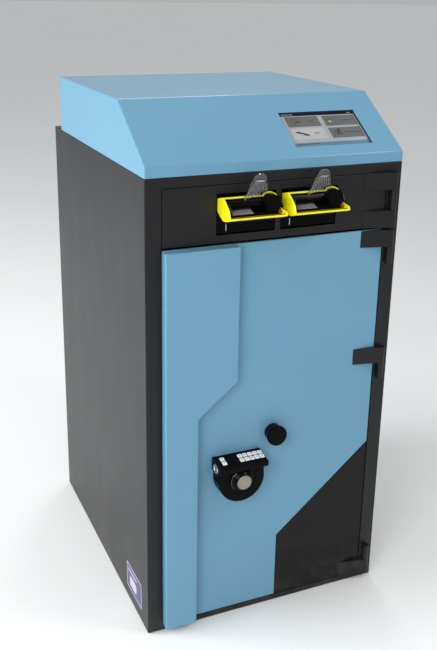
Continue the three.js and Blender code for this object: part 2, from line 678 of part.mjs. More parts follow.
function contactPort() {
  const { y, z, radius, proud, rim, floor } = PORT;
  const [outer, back] = [HEAD.left - GAP - proud, HEAD.left - GAP];
  const dish = rodX(y, z, radius - rim, [outer - LAP, back - floor]);
  return named('contact_port', cut(rodX(y, z, radius, [outer, back]), dish),
    paint(0xc4c4c2, 0.2, 1));
}

// The dial and its shaft, which reaches through the housing and the door into the lock case.
function lockDial() {
  const { x, z, radius, badge, back, front, shaft, end } = DIAL;
  return named('lock_dial', turned([
    [0, front + 1.5], [badge + 0.4, front + 1.5], [badge + 0.4, front], [badge + 2, front],
    [radius - 6.5, front + 1], [radius - 1, -35], [radius, -33], [radius, back], [shaft, back],
    [shaft, end], [0, end],
  ], x, z), blackPlastic());
}

function dialBadge() {
  const { x, z, badge, front } = DIAL;
  return named('dial_badge', rodY(x, z, badge, [front + 0.2, front + 1.5 - GAP]),
    paint(0x8d8b7c, 0.4, 0.6));
}

function mainDoor() {
  return assembly(
    mainDoorPlate(),
    overlayCover(),
    ...MAIN_HINGES.map(({ name, arm }) => hingeArm(`hinge_arm_${name}`, arm)),
    boltGuide(),
    boltBar(),
    boltKnob(),
    knobCrank(),
    lockCase(),
    lockBolt(),
    lockHousing(),
    contactPort(),
    lockDial(),
    dialBadge(),
    onKeypad(...keyPlaces().map(key)),
  );
}

// ---- the whole safe ----

const safe = assembly(
  cabinet(),
  hoodCover(),
  onSlope(touchDisplay(), displayBracket()),
  electronics(),
  knuckles(),
  ...FEEDERS.map(validatorHead),
  ...FEEDERS.map(noteCassette),
  upperDoor(),
  mainDoor(),
);
safe.position.set(-WIDTH / 2, -DEPTH / 2, 0);

export default safe;
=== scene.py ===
"""The looks of a smart cash deposit safe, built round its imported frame. Metres, +Z up."""
import json
import math

import bmesh
import bpy
from mathutils import Matrix, Vector


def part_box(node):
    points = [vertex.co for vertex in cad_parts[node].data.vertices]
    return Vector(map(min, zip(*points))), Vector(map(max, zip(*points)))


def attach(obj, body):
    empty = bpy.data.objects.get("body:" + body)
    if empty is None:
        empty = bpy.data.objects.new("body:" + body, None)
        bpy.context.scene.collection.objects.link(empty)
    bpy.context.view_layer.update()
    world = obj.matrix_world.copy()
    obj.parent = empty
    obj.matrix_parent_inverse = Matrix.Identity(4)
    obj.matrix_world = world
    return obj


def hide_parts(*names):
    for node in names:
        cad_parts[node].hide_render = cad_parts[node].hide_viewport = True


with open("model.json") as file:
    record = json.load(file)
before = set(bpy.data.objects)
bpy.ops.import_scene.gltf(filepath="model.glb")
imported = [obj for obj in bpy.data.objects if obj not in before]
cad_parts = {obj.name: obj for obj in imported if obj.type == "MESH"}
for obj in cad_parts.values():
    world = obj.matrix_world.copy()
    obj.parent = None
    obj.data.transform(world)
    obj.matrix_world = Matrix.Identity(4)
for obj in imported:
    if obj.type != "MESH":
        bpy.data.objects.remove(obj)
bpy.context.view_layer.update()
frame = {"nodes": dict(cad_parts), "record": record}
scene = bpy.context.scene

MM = 0.001
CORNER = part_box("side_wall_left")[0]  # left front bottom corner of the cabinet
FRONT = Vector((0, -1, 0))
BACK = Vector((0, 1, 0))
LEFT = Vector((-1, 0, 0))
RIGHT = Vector((1, 0, 0))


def at(x, y, z):
    """A point given in millimetres from the cabinet's left front bottom corner."""
    return CORNER + Vector((x, y, z)) * MM


def millimetres(node_name):
    """The lowest and highest corner of a CAD node, in millimetres from the same corner."""
    return [(corner - CORNER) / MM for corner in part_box(node_name)]


# ---- node materials ----

MIX_FACTOR, MIX_FIRST, MIX_SECOND = 0, 6, 7  # sockets of a colour Mix node
MIX_RESULT = 2
DUST_COLOUR = (0.34, 0.31, 0.27)
DUST_HEIGHT = 0.16  # dust thins out up to here


def new_material(name):
    material = bpy.data.materials.new(name)
    material.use_nodes = True
    return material, material.node_tree, material.node_tree.nodes["Principled BSDF"]


def node(tree, kind, **settings):
    made = tree.nodes.new(kind)
    for key, value in settings.items():
        if key in made.inputs:
            made.inputs[key].default_value = value
        else:
            setattr(made, key, value)
    return made


def object_point(tree, stretch=(1, 1, 1)):
    """Object coordinates, stretched along each axis."""
    place = node(tree, "ShaderNodeTexCoord")
    mapping = node(tree, "ShaderNodeMapping")
    mapping.inputs["Scale"].default_value = stretch
    tree.links.new(place.outputs["Object"], mapping.inputs["Vector"])
    return mapping.outputs["Vector"]


def noise(tree, point, scale, detail=3.0, rough=0.5):
    made = node(tree, "ShaderNodeTexNoise", Scale=scale, Detail=detail, Roughness=rough)
    tree.links.new(point, made.inputs["Vector"])
    return made.outputs["Fac"]


def remap(tree, value, low, high, to_low, to_high):
    made = node(tree, "ShaderNodeMapRange")
    tree.links.new(value, made.inputs["Value"])
    for socket, number in zip(("From Min", "From Max", "To Min", "To Max"), (low, high, to_low, to_high)):
        made.inputs[socket].default_value = number
    return made.outputs["Result"]


def blend_colour(tree, factor, first, second):
    made = node(tree, "ShaderNodeMix", data_type="RGBA")
    for socket, colour in ((MIX_FIRST, first), (MIX_SECOND, second)):
        if isinstance(colour, tuple):
            made.inputs[socket].default_value = (*colour, 1)
        else:
            tree.links.new(colour, made.inputs[socket])
    tree.links.new(factor, made.inputs[MIX_FACTOR])
    return made.outputs[MIX_RESULT]


def add_bump(tree, shader, height, distance):
    made = node(tree, "ShaderNodeBump", Strength=1.0, Distance=distance)
    tree.links.new(height, made.inputs["Height"])
    tree.links.new(made.outputs["Normal"], shader.inputs["Normal"])


def scaled(colour, factor):
    return tuple(min(1.0, channel * factor) for channel in colour)


def powder_coat(name, colour, rough, grain_mm, grain_depth, specular, tint=0.05, dust=0.03, wear=0.02,
                coat=0.0):
    """Powder coat: orange peel or sand grain, slow shifts of tone, dust settled low down."""
    material, tree, shader = new_material(name)
    point = object_point(tree)
    cloud = remap(tree, noise(tree, point, 3.5, 4), 0.35, 0.65, 0, 1)
    tone = blend_colour(tree, cloud, scaled(colour, 1 - tint), scaled(colour, 1 + tint))
    split = node(tree, "ShaderNodeSeparateXYZ")
    tree.links.new(point, split.inputs[0])
    low_down = remap(tree, split.outputs["Z"], 0.0, DUST_HEIGHT, 1, 0)
    smudge = remap(tree, noise(tree, point, 22, 6, 0.62), 0.45, 0.75, 0, 1)
    dusty = node(tree, "ShaderNodeMath", operation="MULTIPLY")
    tree.links.new(low_down, dusty.inputs[0])
    tree.links.new(smudge, dusty.inputs[1])
    amount = remap(tree, dusty.outputs[0], 0, 1, 0, dust * 3)
    tree.links.new(blend_colour(tree, amount, tone, DUST_COLOUR), shader.inputs["Base Color"])
    wipe = noise(tree, object_point(tree, (1, 1, 0.35)), 16, 5, 0.6)
    tree.links.new(remap(tree, wipe, 0.3, 0.7, rough - wear, rough + wear), shader.inputs["Roughness"])
    shader.inputs["Specular IOR Level"].default_value = specular
    shader.inputs["Coat Weight"].default_value = coat
    shader.inputs["Coat Roughness"].default_value = 0.12
    add_bump(tree, shader, noise(tree, point, 1000 / grain_mm, 2), grain_depth * MM)
    return material


def plastic(name, colour, rough, grain_mm=0.6, grain_depth=0.02, tint=0.08, specular=0.5):
    """Moulded plastic: a fine grain, faint flow marks, a little handling shine."""
    material, tree, shader = new_material(name)
    point = object_point(tree)
    flow = remap(tree, noise(tree, object_point(tree, (1, 2.5, 1)), 35, 3), 0.35, 0.65, 0, 1)
    tree.links.new(blend_colour(tree, flow, scaled(colour, 1 - tint), scaled(colour, 1 + tint)),
                   shader.inputs["Base Color"])
    shine = remap(tree, noise(tree, point, 60, 4, 0.6), 0.3, 0.7, rough - 0.06, rough + 0.07)
    tree.links.new(shine, shader.inputs["Roughness"])
    shader.inputs["Specular IOR Level"].default_value = specular
    add_bump(tree, shader, noise(tree, point, 1000 / grain_mm, 2), grain_depth * MM)
    return material


def metal(name, colour, rough, stretch=(1, 1, 1), streak_mm=0.5, streak_depth=0.01):
    """Bare or plated metal: drawn streaks along one axis and a few duller patches."""
    material, tree, shader = new_material(name)
    streaks = noise(tree, object_point(tree, stretch), 1000 / streak_mm, 3)
    patches = noise(tree, object_point(tree), 40, 4, 0.6)
    tree.links.new(blend_colour(tree, remap(tree, patches, 0.35, 0.65, 0, 1), scaled(colour, 0.88),
                                scaled(colour, 1.06)), shader.inputs["Base Color"])
    shader.inputs["Metallic"].default_value = 1.0
    tree.links.new(remap(tree, patches, 0.3, 0.7, rough - 0.06, rough + 0.1), shader.inputs["Roughness"])
    add_bump(tree, shader, streaks, streak_depth * MM)
    return material


def clear_plastic(name):
    """Clear acrylic with fine handling scratches."""
    material, tree, shader = new_material(name)
    haze = noise(tree, object_point(tree, (1, 1, 0.2)), 400, 4, 0.6)
    tree.links.new(remap(tree, haze, 0.35, 0.7, 0.005, 0.03), shader.inputs["Roughness"])
    tree.links.new(blend_colour(tree, haze, (0.93, 0.96, 0.96), (1, 1, 1)), shader.inputs["Base Color"])
    shader.inputs["Transmission Weight"].default_value = 1.0
    shader.inputs["IOR"].default_value = 1.49
    shader.inputs["Specular IOR Level"].default_value = 0.15
    add_bump(tree, shader, haze, 0.02 * MM)
    return material


def lit_panel(name, colour, glow, shade=0.12):
    """One colour of the screen's picture: a fine pixel grid and a soft falloff across it."""
    material, tree, shader = new_material(name)
    point = object_point(tree)
    pixels = noise(tree, point, 2600, 1)
    falloff = remap(tree, noise(tree, point, 9, 1), 0.3, 0.7, 0, 1)
    dim, bright = scaled(colour, 1 - shade), scaled(colour, 1 + shade)
    picture = blend_colour(tree, falloff, dim, bright)
    grain = blend_colour(tree, remap(tree, pixels, 0.3, 0.7, 0, 0.5), picture, scaled(colour, 0.8))
    tree.links.new(grain, shader.inputs["Base Color"])
    tree.links.new(grain, shader.inputs["Emission Color"])
    shader.inputs["Emission Strength"].default_value = glow
    tree.links.new(remap(tree, pixels, 0.3, 0.7, 0.10, 0.16), shader.inputs["Roughness"])
    return material


BLUE = (0.138, 0.318, 0.455)
CHARCOAL = (0.0080, 0.0080, 0.0090)
SHADED_DOOR_CHARCOAL = (0.0050, 0.0046, 0.0046)  # a darker copy of the charcoal: painted shade on the main door's lower right corner, away from the light, and on its inner face

blue_coat = powder_coat("blue_powder_coat", BLUE, 0.34, 2.2, 0.008, 0.16, tint=0.02, dust=0.02, wear=0.03,
                        coat=0.25)
charcoal_coat = powder_coat("charcoal_powder_coat", CHARCOAL, 0.38, 0.9, 0.02, 0.32)
door_charcoal_painted_shade = powder_coat("door_charcoal_painted_shade", SHADED_DOOR_CHARCOAL, 0.38, 0.9, 0.02, 0.20)
black_plastic = plastic("black_plastic", (0.0030, 0.0030, 0.0034), 0.32, specular=0.05)
satin_black = plastic("satin_black", (0.0030, 0.0030, 0.0032), 0.20, 0.9, 0.006, specular=0.05)
# dark grey: the cash units' own plastic, and also a painted highlight on the feeders' black guide ribs
grey_plastic_and_rib_highlight = plastic("grey_plastic_and_rib_highlight", (0.030, 0.031, 0.034), 0.42, specular=0.35)
# pale grey: the cassette labels' own colour, and also painted light on the feeders' ramps
pale_label_and_lit_ramp = plastic("pale_grey_label_and_painted_light", (0.20, 0.195, 0.215), 0.26)
gloss_black = plastic("gloss_black", (0.006, 0.006, 0.0062), 0.14, 0.9, 0.004, specular=0.8)
white_plastic = plastic("white_key_plastic", (0.92, 0.92, 0.90), 0.38, 0.5, 0.01, 0.03)
yellow_plastic = plastic("yellow_plastic", (0.95, 0.87, 0.010), 0.28, 0.7, 0.012, 0.04)
# amber: painted shade, the yellow trough's inner face in shadow
amber_painted_shade = plastic("amber_painted_shade", (0.46, 0.27, 0.010), 0.30, 0.7, 0.012, 0.08)
# dark navy: painted shade on the hood window's returns, inside the recess
window_return_shade = plastic("window_return_painted_shade", (0.010, 0.030, 0.048), 0.45, 0.6, 0.01)
# orange: painted shade, the yellow trough's inner right corner in shadow
orange_painted_shade = plastic("orange_painted_shade", (0.36, 0.13, 0.010), 0.34)
steel = metal("plated_steel", (0.52, 0.53, 0.54), 0.34, (1, 1, 0.08))
chrome = metal("chrome", (0.62, 0.60, 0.56), 0.22, (0.1, 1, 1), 0.8, 0.003)
badge_metal = metal("badge_metal", (0.33, 0.32, 0.26), 0.38, (0.05, 1, 1), 0.35, 0.006)
clear = clear_plastic("clear_acrylic")
# pale ribs on the clear guards: a painted highlight for the bright streaks the clear ribs catch
rib_highlight_plastic = plastic("rib_painted_highlight", (0.28, 0.28, 0.28), 0.22, 0.8, 0.01, 0.05)
ink = plastic("dark_ink", (0.02, 0.02, 0.025), 0.5, 0.4, 0.005)
board_green = plastic("solder_mask", (0.02, 0.11, 0.045), 0.35, 2.5, 0.02, 0.2)


# ---- meshes ----

SHEET_SHOWN = 1.5  # thickness shown on the hood and the overlay cover


def weigh_normals(piece):
    weights = piece.modifiers.new("face weighted normals", "WEIGHTED_NORMAL")
    weights.keep_sharp = True


def finished(name, bm, materials, body, smooth=35, weighted=True):
    """Turns a bmesh into a piece: normals out, smooth faces, sharp edges kept, riding on a body."""
    bmesh.ops.recalc_face_normals(bm, faces=bm.faces)
    mesh = bpy.data.meshes.new(name)
    bm.to_mesh(mesh)
    bm.free()
    mesh.shade_smooth()
    mesh.set_sharp_from_angle(angle=math.radians(smooth))
    piece = bpy.data.objects.new(name, mesh)
    scene.collection.objects.link(piece)
    for material in materials if isinstance(materials, list) else [materials]:
        mesh.materials.append(material)
    if weighted:
        weigh_normals(piece)
    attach(piece, body)
    return piece


def soften(bm, width_mm, segments=3, angle=28, edges=None):
    """Rounds the edges given, or those that turn by more than the angle, if its normals are known."""
    if edges is None:
        edges = [e for e in bm.edges if len(e.link_faces) == 2
                 and e.calc_face_angle(0) > math.radians(angle)]
    bmesh.ops.bevel(bm, geom=edges, offset=width_mm * MM, segments=segments, profile=0.5,
                    affect="EDGES", clamp_overlap=True)


def cad_mesh(node_name):
    """The mesh of a CAD node with its flat faces joined up again."""
    bm = bmesh.new()
    bm.from_mesh(frame["nodes"][node_name].data)
    bmesh.ops.remove_doubles(bm, verts=bm.verts, dist=2e-6)
    bmesh.ops.dissolve_limit(bm, angle_limit=math.radians(1), verts=bm.verts, edges=bm.edges)
    return bm


def refined(node_name, material, width_mm, segments=2, angle=28):
    """A finer copy of a CAD node with rounded edges, shown in its place."""
    bm = cad_mesh(node_name)
    soften(bm, width_mm, segments, angle)
    piece = finished(node_name + "_fine", bm, material, body_of_node(node_name))
    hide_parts(node_name)


def body_of_node(node_name):
    bodies = frame["record"]["behaviour"]["bodies"]
    return next(body for body, nodes in bodies.items() if node_name in nodes)


def thicken(cover, even=False):
    """Gives a folded skin its sheet thickness, inwards, and then clean shading."""
    sheet = cover.modifiers.new("sheet thickness", "SOLIDIFY")
    sheet.thickness = SHEET_SHOWN * MM
    sheet.offset = -1
    sheet.use_even_offset = even
    weigh_normals(cover)


def add_loop(bm, points):
    return [bm.verts.new(point) for point in points]


def bridge(bm, first, second):
    """Quads between two loops of the same length."""
    count = len(first)
    return [bm.faces.new((first[i], first[(i + 1) % count], second[(i + 1) % count], second[i]))
            for i in range(count)]


def add_prism(bm, points, offset):
    """A closed prism from a flat loop of points, moved along the offset."""
    base = add_loop(bm, points)
    top = add_loop(bm, [p + offset for p in points])
    faces = [bm.faces.new(base), bm.faces.new(top)] + bridge(bm, base, top)
    return base, top, faces


def add_box(bm, low, high):
    (x0, y0, z0), (x1, y1, z1) = low, high
    return add_prism(bm, [at(x0, y0, z0), at(x1, y0, z0), at(x1, y0, z1), at(x0, y0, z1)],
                     Vector((0, (y1 - y0) * MM, 0)))


def add_turned(bm, profile, centre, axis, sides=64):
    """A closed turned form. The profile is [radius, distance along the axis] in millimetres."""
    side = axis.orthogonal().normalized()
    across = axis.cross(side)
    rings = []
    for radius, along in profile:
        middle = centre + axis * along * MM
        if radius == 0:
            rings.append([bm.verts.new(middle)])
            continue
        rings.append([bm.verts.new(middle + (side * math.cos(a) + across * math.sin(a)) * radius * MM)
                      for a in (2 * math.pi * i / sides for i in range(sides))])
    for first, second in zip(rings, rings[1:]):
        if len(first) == 1:
            first = first * sides
        if len(second) == 1:
            second = second * sides
        for i in range(sides):
            corners = [first[i], first[(i + 1) % sides], second[(i + 1) % sides], second[i]]
            bm.faces.new(list(dict.fromkeys(corners)))
    if profile[0] == profile[-1]:
        bmesh.ops.remove_doubles(bm, verts=[*rings[0], *rings[-1]], dist=1e-7)


def turned(name, profile, centre, axis, material, body, sides=64, smooth=32):
    bm = bmesh.new()
    add_turned(bm, profile, centre, axis, sides)
    return finished(name, bm, material, body, smooth)


def arc(x, y, radius, start, end, steps):
    """Points of an arc, with its angles in degrees."""
    angles = [math.radians(start + (end - start) * i / steps) for i in range(steps + 1)]
    return [(x + radius * math.cos(a), y + radius * math.sin(a)) for a in angles]


def rounded(points, radius, steps=4):
    """A flat outline with each corner cut to an arc-like curve."""
    result = []
    for i, corner in enumerate(points):
        corner = Vector(corner)
        before, after = Vector(points[i - 1]), Vector(points[(i + 1) % len(points)])
        reach = min(radius, (before - corner).length / 2.1, (after - corner).length / 2.1)
        start = corner + (before - corner).normalized() * reach
        end = corner + (after - corner).normalized() * reach
        for k in range(steps + 1):
            t = k / steps
            result.append(tuple(start * (1 - t) ** 2 + corner * 2 * t * (1 - t) + end * t ** 2))
    return result


def rectangle(x, y, width, height):
    return [(x - width / 2, y - height / 2), (x + width / 2, y - height / 2),
            (x + width / 2, y + height / 2), (x - width / 2, y + height / 2)]


def boolean(target_bm, tool_bms, operation):
    """Joins or cuts closed bmeshes with Blender's exact solver, and returns the result."""
    objects = []
    for bm in [target_bm, *tool_bms]:
        bmesh.ops.recalc_face_normals(bm, faces=bm.faces)
        mesh = bpy.data.meshes.new("scratch")
        bm.to_mesh(mesh)
        bm.free()
        piece = bpy.data.objects.new("scratch", mesh)
        scene.collection.objects.link(piece)
        objects.append(piece)
    target = objects[0]
    for tool in objects[1:]:
        step = target.modifiers.new("step", "BOOLEAN")
        step.operation, step.solver, step.object = operation, "EXACT", tool
    result = bmesh.new()
    result.from_object(target, bpy.context.evaluated_depsgraph_get())
    for piece in objects:
        mesh = piece.data
        bpy.data.objects.remove(piece)
        bpy.data.meshes.remove(mesh)
    return result


# ---- camera, light and floor ----

FLOOR_HALF = 60  # half the floor's side, far past the picture's edge
FLOOR_GAP = 0.0005  # the floor lies this far below the part


def look():
    """A camera in front, to the left and a little above the hood, tilted down and rolled a little."""
    camera = bpy.data.objects.new("camera", bpy.data.cameras.new("camera"))
    heading, pitch, roll = (math.radians(a) for a in (23.86, 18.17, 1.02))
    turn = (Matrix.Rotation(-heading, 4, "Z") @ Matrix.Rotation(math.pi / 2 - pitch, 4, "X")
            @ Matrix.Rotation(roll, 4, "Z"))
    camera.matrix_world = Matrix.Translation((-0.7115, -1.6484, 1.1909)) @ turn
    camera.data.lens = 49.37
    camera.data.shift_y = -0.0721
    scene.collection.objects.link(camera)
    scene.camera = camera


def area_light(name, place, target, width, height, power, colour=(1, 1, 1)):
    lamp = bpy.data.lights.new(name, "AREA")
    lamp.shape, lamp.size, lamp.size_y = "RECTANGLE", width, height
    lamp.energy, lamp.color = power, colour
    piece = bpy.data.objects.new(name, lamp)
    piece.location = place
    piece.rotation_euler = (Vector(target) - Vector(place)).to_track_quat("-Z", "Y").to_euler()
    scene.collection.objects.link(piece)


def studio():
    """A pale room, two soft boxes on the left, two small lights that catch the folds, a wide floor."""
    scene.view_settings.view_transform = "Standard"
    world = bpy.data.worlds.new("soft studio")
    world.use_nodes = True
    tree = world.node_tree
    split = node(tree, "ShaderNodeSeparateXYZ")
    tree.links.new(node(tree, "ShaderNodeTexCoord").outputs["Generated"], split.inputs[0])
    strength = remap(tree, split.outputs["Z"], 0.05, 0.30, 0.46, 0.56)
    sky = tree.nodes["Background"]
    sky.inputs["Color"].default_value = (0.95, 0.975, 1.0, 1)
    tree.links.new(strength, sky.inputs["Strength"])
    scene.world = world
    area_light("key_soft_box", (-1.7, -1.8, 1.6), (-0.1, -0.3, 0.6), 1.1, 1.3, 29, (1.0, 0.99, 0.97))
    area_light("left_soft_box", (-4.0, 0.7, 2.4), (0, 0, 0.6), 2.6, 2.6, 175, (0.95, 0.98, 1.0))
    area_light("fold_light_back", (0.68, 1.40, 2.4), (0, -0.15, 1.0), 0.6, 0.35, 7)
    area_light("fold_light_top", (1.15, -1.25, 2.2), (0.1, -0.3, 0.9), 0.5, 0.25, 10)
    bm = bmesh.new()
    bmesh.ops.create_grid(bm, x_segments=40, y_segments=40, size=FLOOR_HALF)
    mesh = bpy.data.meshes.new("floor")
    bm.to_mesh(mesh)
    bm.free()
    floor = bpy.data.objects.new("floor", mesh)
    material, tree, shader = new_material("pale_floor")
    speck = noise(tree, object_point(tree), 1.2, 4)
    tree.links.new(blend_colour(tree, speck, (0.86, 0.86, 0.85), (0.91, 0.91, 0.90)),
                   shader.inputs["Base Color"])
    shader.inputs["Roughness"].default_value = 0.6
    mesh.materials.append(material)
    floor.location.z = -FLOOR_GAP
    scene.collection.objects.link(floor)


look()
studio()


# ---- cabinet shell ----

JAMB = 30  # width of the front return beside the doors
FLANGE_SIDE = 10.6  # how far the inlet's flange overlaps its hole, sideways
FLANGE_END = 2.6  # and above and below


def cabinet_shell():
    """The welded and coated box, in one skin: side walls, back, roof, floor, sill and header."""
    width, depth, height = millimetres("side_wall_right")[1]
    sheet, sill = millimetres("sill")[1].yz
    header = millimetres("header")[0].z
    low, high = millimetres("power_inlet")
    inlet = (low.x + FLANGE_SIDE, high.x - FLANGE_SIDE, low.z + FLANGE_END, high.z - FLANGE_END)

    def ring(x0, x1, z0, z1, y):
        return add_loop(bm, [at(x0, y, z0), at(x1, y, z0), at(x1, y, z1), at(x0, y, z1)])

    bm = bmesh.new()
    outer = [ring(0, width, 0, height, y) for y in (0, depth)]
    door = [ring(JAMB, width - JAMB, sill, header, y) for y in (0, sheet)]
    inner = [ring(sheet, width - sheet, sheet, height - sheet, y) for y in (sheet, depth - sheet)]
    hole = [ring(*inlet, y) for y in (depth, depth - sheet)]
    for pair in (outer, door, inner, hole, (outer[0], door[0]), (door[1], inner[0]),
                 (outer[1], hole[0]), (inner[1], hole[1])):
        bridge(bm, *pair)
    bmesh.ops.recalc_face_normals(bm, faces=bm.faces)
    rims = {frozenset(p) for loop in door for p in zip(loop, loop[1:] + loop[:1])}
    corners = {frozenset(p) for loop in outer for p in zip(loop, loop[1:] + loop[:1])}
    corners |= {frozenset(p) for p in zip(*outer)}
    rim_edges = [e for e in bm.edges if frozenset(e.verts) in rims]
    corner_edges = [e for e in bm.edges if frozenset(e.verts) in corners]
    soften(bm, 2.2, 4, edges=corner_edges)
    rim_edges = [e for e in rim_edges if e.is_valid]
    soften(bm, 0.7, 2, edges=rim_edges)
    shell = finished("cabinet_shell", bm, charcoal_coat, "cabinet", 50)
    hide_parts("side_wall_left", "side_wall_right", "back_wall", "roof_plate",
                "floor_plate", "sill", "header")


cabinet_shell()


# ---- hood ----

HOOD_LIP = 910  # height of the fold at the foot of the slanted panel
SLOPE_RUN = 142
SLOPE_RISE = 93
SLOPE = (Matrix.Translation(at(0, 0, HOOD_LIP))
         @ Matrix.Rotation(math.atan2(SLOPE_RISE, SLOPE_RUN), 4, "X"))
WINDOW = (290, 447.5, 26, 117)  # left, right, low and high on the slanted panel
RECESS = 5.5  # depth of the window's returns


def on_slope(x, along, out):
    """A point of the slanted panel: across, up the slope and out of its face, in millimetres."""
    return SLOPE @ (Vector((x, along, out)) * MM)


def hood():
    """The folded cover with the slanted panel and the window's returns."""
    low, high = millimetres("hood_cover")
    side = [(0, low.z), (0, HOOD_LIP), (SLOPE_RUN, high.z), (high.y, high.z), (high.y, low.z)]
    bm = bmesh.new()
    left, right = ([bm.verts.new(at(x, y, z)) for y, z in side] for x in (low.x, high.x))
    bm.faces.new(left)
    bm.faces.new(right)
    for i in (0, 2, 3):
        bm.faces.new((left[i], left[i + 1], right[i + 1], right[i]))
    x0, x1, s0, s1 = WINDOW
    panel = [left[1], right[1], right[2], left[2]]
    window = ((x0, s0), (x1, s0), (x1, s1), (x0, s1))
    rim = add_loop(bm, [on_slope(x, s, 0) for x, s in window])
    root = add_loop(bm, [on_slope(x, s, -RECESS) for x, s in window])
    bridge(bm, panel, rim)
    # the returns take the second colour, dark navy painted shade
    for face in bridge(bm, rim, root):
        face.material_index = 1
    bmesh.ops.recalc_face_normals(bm, faces=bm.faces)
    folds = {frozenset(pair) for pair in zip(left[1:4], right[1:4])}
    folds |= {frozenset(p) for row in (left, right) for p in zip(row, row[1:])}
    rims = {frozenset(p) for p in zip(rim, rim[1:] + rim[:1])}
    fold_edges = [e for e in bm.edges if frozenset(e.verts) in folds]
    rim_edges = [e for e in bm.edges if frozenset(e.verts) in rims]
    soften(bm, 2.6, 4, edges=fold_edges)
    soften(bm, 0.8, 3, edges=[e for e in rim_edges if e.is_valid])
    cover = finished("hood_skin", bm, [blue_coat, window_return_shade], "cabinet", 50, weighted=False)
    thicken(cover, even=True)
    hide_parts("hood_cover")


hood()


# ---- touch display ----

DISPLAY_EDGE = 5  # how far the display reaches past its window
DISPLAY_DEPTH = 13
DISPLAY_FRONT = -RECESS - 0.4  # the glass lies just behind the window's returns
PICTURE_MARGIN = 3  # the picture is this much wider and taller than the window
LAYER = 0.04  # step between the picture's layers
GLOW = 0.24


def display():
    """The display's body, and on its glass a picture with four tiles, each with a pictogram."""
    x0, x1, s0, s1 = WINDOW
    x_mid, s_mid, width, height = (x0 + x1) / 2, (s0 + s1) / 2, x1 - x0, s1 - s0
    points = rounded(rectangle(x_mid, s_mid, width + 2 * DISPLAY_EDGE, height + 2 * DISPLAY_EDGE), 4)
    bm = bmesh.new()
    add_prism(bm, [on_slope(x, s, DISPLAY_FRONT) for x, s in points],
              on_slope(0, 0, -DISPLAY_DEPTH) - on_slope(0, 0, 0))
    module = finished("display_module", bm, satin_black, "cabinet")
    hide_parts("touch_display")

    colours = [
        ("screen_ground", (0.30, 0.30, 0.31)), ("screen_header", (0.010, 0.014, 0.020)),
        ("screen_tile", (0.095, 0.097, 0.10)), ("screen_pale_tile", (0.36, 0.36, 0.37)),
        ("screen_footer", (0.07, 0.17, 0.23)), ("screen_brown", (0.13, 0.060, 0.045)),
        ("screen_green", (0.045, 0.10, 0.012)), ("screen_violet", (0.030, 0.022, 0.11)),
        ("screen_caption", (0.030, 0.030, 0.034)), ("screen_light", (0.30, 0.32, 0.34)),
    ]
    index = {name: i for i, (name, _) in enumerate(colours)}
    bm = bmesh.new()

    def patch(points, colour, layer):
        out = DISPLAY_FRONT + LAYER * (layer + 1)
        face = bm.faces.new([bm.verts.new(on_slope(x, s, out)) for x, s in points])
        face.material_index = index["screen_" + colour]

    def bar(x, s, width, height, colour, layer, corner=0.0):
        shape = rectangle(x, s, width, height)
        patch(rounded(shape, corner, 3) if corner else shape, colour, layer)

    header = 116
    bar(x_mid, s_mid, width + PICTURE_MARGIN, height + PICTURE_MARGIN, "ground", 0)
    bar(x_mid, header, width + PICTURE_MARGIN, 7.5, "header", 1)
    bar(x_mid, 33, width + PICTURE_MARGIN, 16, "footer", 1)
    bar(309, header, 24, 1.8, "light", 2)
    bar(439, header, 8, 1.6, "light", 2)
    bar(322, 37.5, 44, 1.6, "caption", 2)
    tiles = [(334.5, 96.5, "tile"), (411.5, 96, "tile"), (334.5, 64, "pale_tile"), (411.5, 63.5, "tile")]
    for x, s, colour in tiles:
        bar(x, s, 68, 27.5, colour, 1, 1.2)
    for x, s, width in ((350, 97, 13), (425, 96, 24), (350, 65, 11), (424, 63.5, 34)):
        bar(x, s, width, 1.7, "caption", 2, 0.6)
    # two banknotes
    patch([(308, 98), (322, 102), (326, 108), (312, 105)], "brown", 2)
    patch([(311, 90), (329, 93), (332, 101), (315, 98)], "green", 3)
    patch(arc(321.5, 95.6, 2.3, 0, 330, 11), "caption", 4)
    # a money bag
    patch(rounded([(384, 87), (391, 85), (397, 100), (391, 105), (385, 104)], 3), "green", 2)
    patch(rounded([(386, 92), (392, 90), (394, 95), (388, 97)], 1), "light", 3)
    # a slip of paper
    patch(rounded([(306, 68), (312, 66), (330, 60), (332, 63), (313, 71)], 1.5), "violet", 2)
    patch(rounded([(322, 60), (334, 58.5), (334, 61), (324, 64)], 1), "caption", 3)
    # a spanner across a screwdriver
    patch([(389, 57), (392, 57), (398, 68), (395, 69)], "caption", 2)
    patch(arc(397.5, 70, 3.6, -60, 200, 12), "caption", 3)
    patch(rounded([(387, 68), (389, 70), (402, 60), (400, 57)], 1), "caption", 4)
    finished("screen_picture", bm, [lit_panel(name, colour, GLOW) for name, colour in colours], "cabinet",
             weighted=False)


display()
refined("display_bracket", steel, 0.5)
refined("power_supply", steel, 0.8)
refined("controller_board", board_green, 0.3)
refined("power_inlet", black_plastic, 0.6)
refined("compartment_shelf", charcoal_coat, 0.6)


# ---- hinges ----

for hinge in ("upper", "high", "middle", "low"):
    refined(f"hinge_knuckle_{hinge}", charcoal_coat, 0.5)
for hinge in ("upper_hinge_arm_high", "upper_hinge_arm_low", "hinge_arm_high", "hinge_arm_middle",
              "hinge_arm_low"):
    refined(hinge, charcoal_coat, 0.8)


# ---- cash units ----

GRIP_REACH = 16  # a cassette's grip stands this far out of its face
NOSE_PROUD = 4  # and a validator's nose this far

for side in ("left", "right"):
    refined(f"validator_head_{side}", grey_plastic_and_rib_highlight, 2.0, 3)
    refined(f"note_cassette_{side}", grey_plastic_and_rib_highlight, 2.5, 3)


